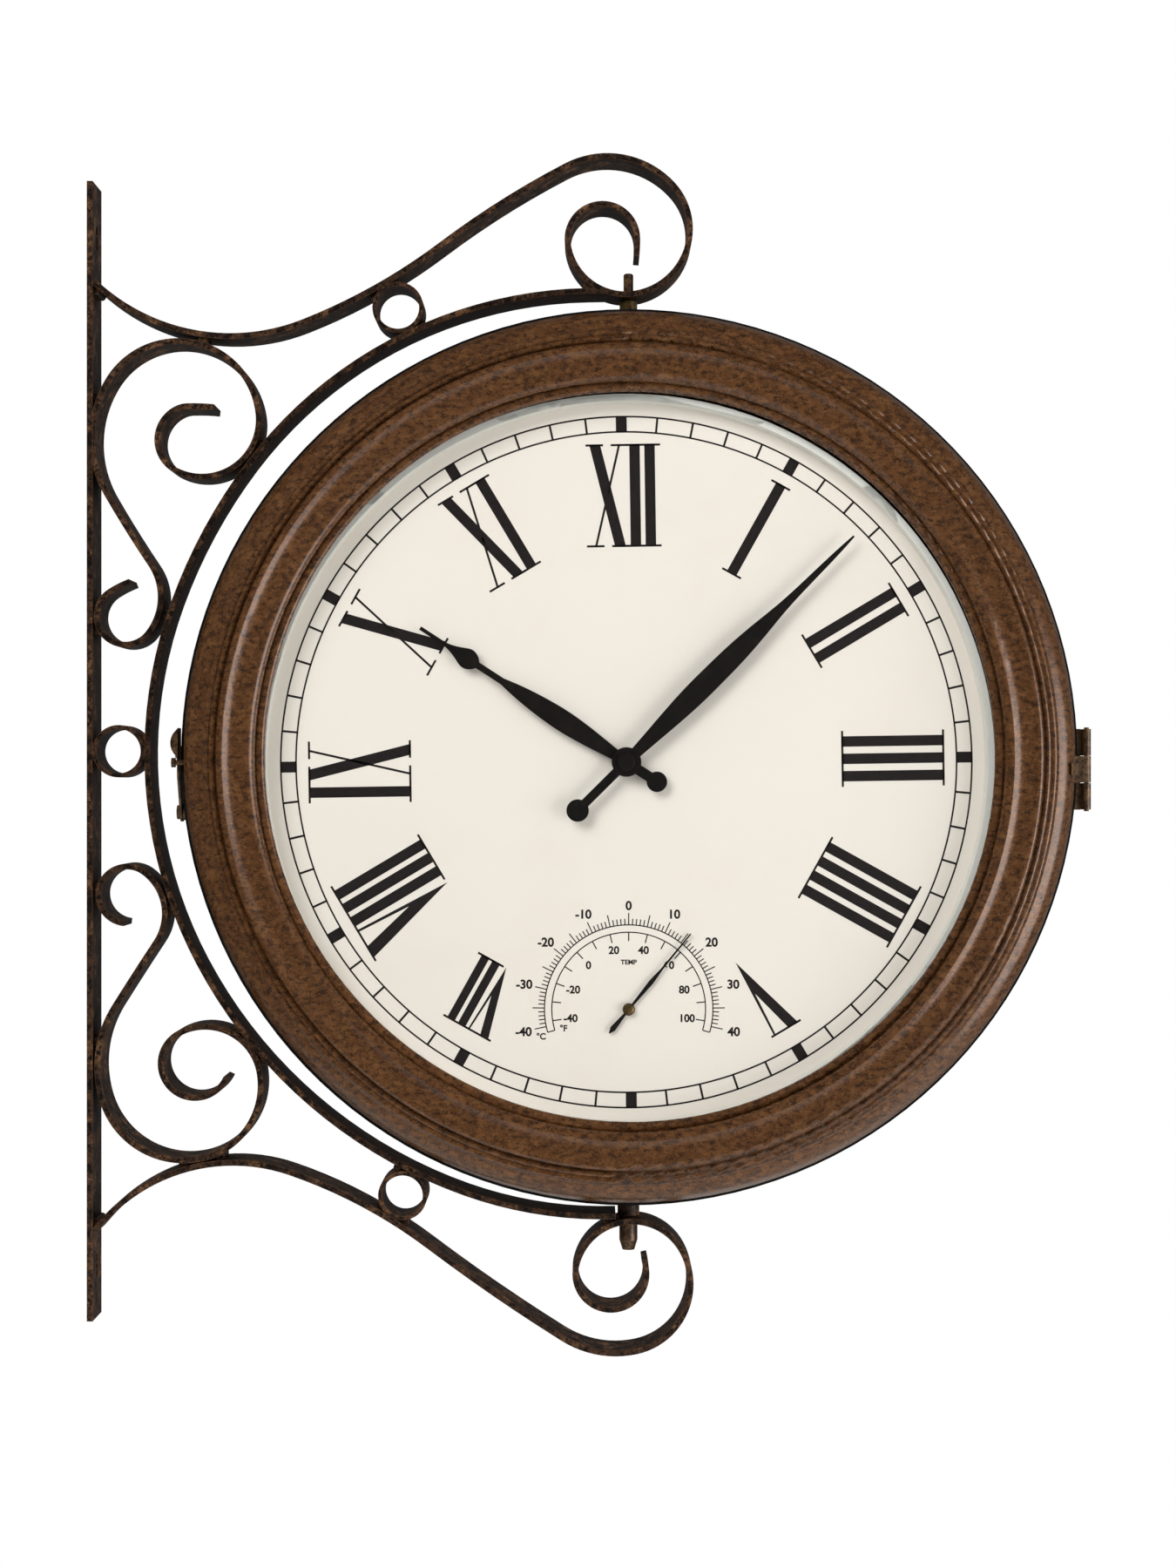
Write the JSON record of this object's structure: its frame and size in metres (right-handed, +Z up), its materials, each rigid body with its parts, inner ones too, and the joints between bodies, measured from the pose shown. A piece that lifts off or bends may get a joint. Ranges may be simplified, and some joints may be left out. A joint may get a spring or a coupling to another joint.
{
  "type": "station clock",
  "caption": "Round station clock with a dial on each side, hung on pins in a scrolled iron wall bracket.",
  "frame": {"origin": "centre of the wall bar's back face, where it lies on the wall", "axes": "+Z up, +X out from the wall along the bracket, and the front dial looks along -Y"},
  "size_m": [0.4264, 0.0956, 0.5138],
  "materials": {
    "iron": "aged brown, satin",
    "sheet": "aged brown, satin",
    "rubber": "matte",
    "steel": "dull",
    "brass": "worn",
    "glass": "clear",
    "white_plastic": "matte",
    "dial_plate": "printed, matte",
    "black_plastic": "matte",
    "gear_plastic": "plain",
    "black_metal": "satin",
    "cell": "gloss"
  },
  "bodies": {
    "bracket": {"wall_bar": "iron", "top_arm": "iron", "bottom_arm": "iron", "arc_bar": "iron", "upper_side_scroll": "iron", "lower_side_scroll": "iron", "arm_rings": "iron", "middle_ring": "iron", "weld_beads": "iron"},
    "case": {"case_band": "sheet", "case_gaskets": "rubber", "top_pin": "steel", "top_collar": "brass", "bottom_pin": "steel", "bottom_collar": "iron", "hinge_case_leaf": "steel", "hinge_pin": "steel", "latch_rivet": "steel", "rear_bezel_screws": "steel", "rear_bezel": "sheet", "rear_glass": "glass", "rear_spacer_ring": "white_plastic", "rear_dial": "dial_plate", "rear_movement_housing": "black_plastic", "rear_movement_cover": "black_plastic", "rear_movement_nut": "brass", "rear_battery": "cell", "rear_battery_contacts": "steel", "rear_thermometer_cup": "white_plastic", "rear_thermometer_coil": "brass"},
    "door": {"hinge_door_leaf": "steel", "latch_stud": "steel", "front_bezel": "sheet", "front_glass": "glass", "front_spacer_ring": "white_plastic", "front_dial": "dial_plate", "front_movement_housing": "black_plastic", "front_movement_cover": "black_plastic", "front_movement_nut": "brass", "front_battery": "cell", "front_battery_contacts": "steel", "front_thermometer_cup": "white_plastic", "front_thermometer_coil": "brass"},
    "latch": {"latch_lever": "steel"},
    "front_minute": {"front_minute_arbor": "brass", "front_minute_hand": "black_metal", "front_hand_cap": "black_metal"},
    "front_hour": {"front_hour_wheel": "gear_plastic", "front_hour_hand": "black_metal"},
    "front_setting": {"front_setting_wheel": "gear_plastic"},
    "front_needle": {"front_thermometer_needle": "black_metal", "front_thermometer_hub": "brass"},
    "rear_minute": {"rear_minute_arbor": "brass", "rear_minute_hand": "black_metal", "rear_hand_cap": "black_metal"},
    "rear_hour": {"rear_hour_wheel": "gear_plastic", "rear_hour_hand": "black_metal"},
    "rear_setting": {"rear_setting_wheel": "gear_plastic"},
    "rear_needle": {"rear_thermometer_needle": "black_metal", "rear_thermometer_hub": "brass"}
  },
  "joints": [
    {"name": "case_swivel", "type": "hinge", "parent": "bracket", "child": "case", "pos_m": [0.2314, 0, 0], "axis": [0, 0, 1], "continuous": true},
    {"name": "door_hinge", "type": "hinge", "parent": "case", "child": "door", "pos_m": [0.4245, -0.0215, -0.0078], "axis": [0, 0, 1], "range_deg": [0, 110]},
    {"name": "latch_swing", "type": "hinge", "parent": "case", "child": "latch", "pos_m": [0.0411, -0.012, -0.026], "axis": [-1, 0, 0], "range_deg": [0, 35]},
    {"name": "front_minute_spin", "type": "hinge", "parent": "door", "child": "front_minute", "pos_m": [0.2301, -0.03, -0.0048], "axis": [0, 1, 0], "continuous": true},
    {"name": "front_hour_spin", "type": "hinge", "parent": "door", "child": "front_hour", "pos_m": [0.2301, -0.03, -0.0048], "axis": [0, 1, 0], "continuous": true},
    {"name": "front_setting_spin", "type": "hinge", "parent": "door", "child": "front_setting", "pos_m": [0.22162, -0.014, 0.00368], "axis": [0, 1, 0], "continuous": true},
    {"name": "front_needle_swing", "type": "hinge", "parent": "door", "child": "front_needle", "pos_m": [0.2311, -0.028, -0.1086], "axis": [0, 1, 0], "range_deg": [-141.4, 62.6]},
    {"name": "rear_minute_spin", "type": "hinge", "parent": "case", "child": "rear_minute", "pos_m": [0.2327, 0.03, -0.0048], "axis": [0, -1, 0], "continuous": true},
    {"name": "rear_hour_spin", "type": "hinge", "parent": "case", "child": "rear_hour", "pos_m": [0.2327, 0.03, -0.0048], "axis": [0, -1, 0], "continuous": true},
    {"name": "rear_setting_spin", "type": "hinge", "parent": "case", "child": "rear_setting", "pos_m": [0.24119, 0.014, 0.00368], "axis": [0, -1, 0], "continuous": true},
    {"name": "rear_needle_swing", "type": "hinge", "parent": "case", "child": "rear_needle", "pos_m": [0.2317, 0.028, -0.1086], "axis": [0, -1, 0], "range_deg": [-141.4, 62.6]}
  ],
  "couplings": [
    {"joint": "front_hour_spin", "follows": "front_minute_spin", "ratio": 0.083333},
    {"joint": "front_setting_spin", "follows": "front_minute_spin", "ratio": -0.33333},
    {"joint": "rear_hour_spin", "follows": "rear_minute_spin", "ratio": 0.083333},
    {"joint": "rear_setting_spin", "follows": "rear_minute_spin", "ratio": -0.33333}
  ]
}
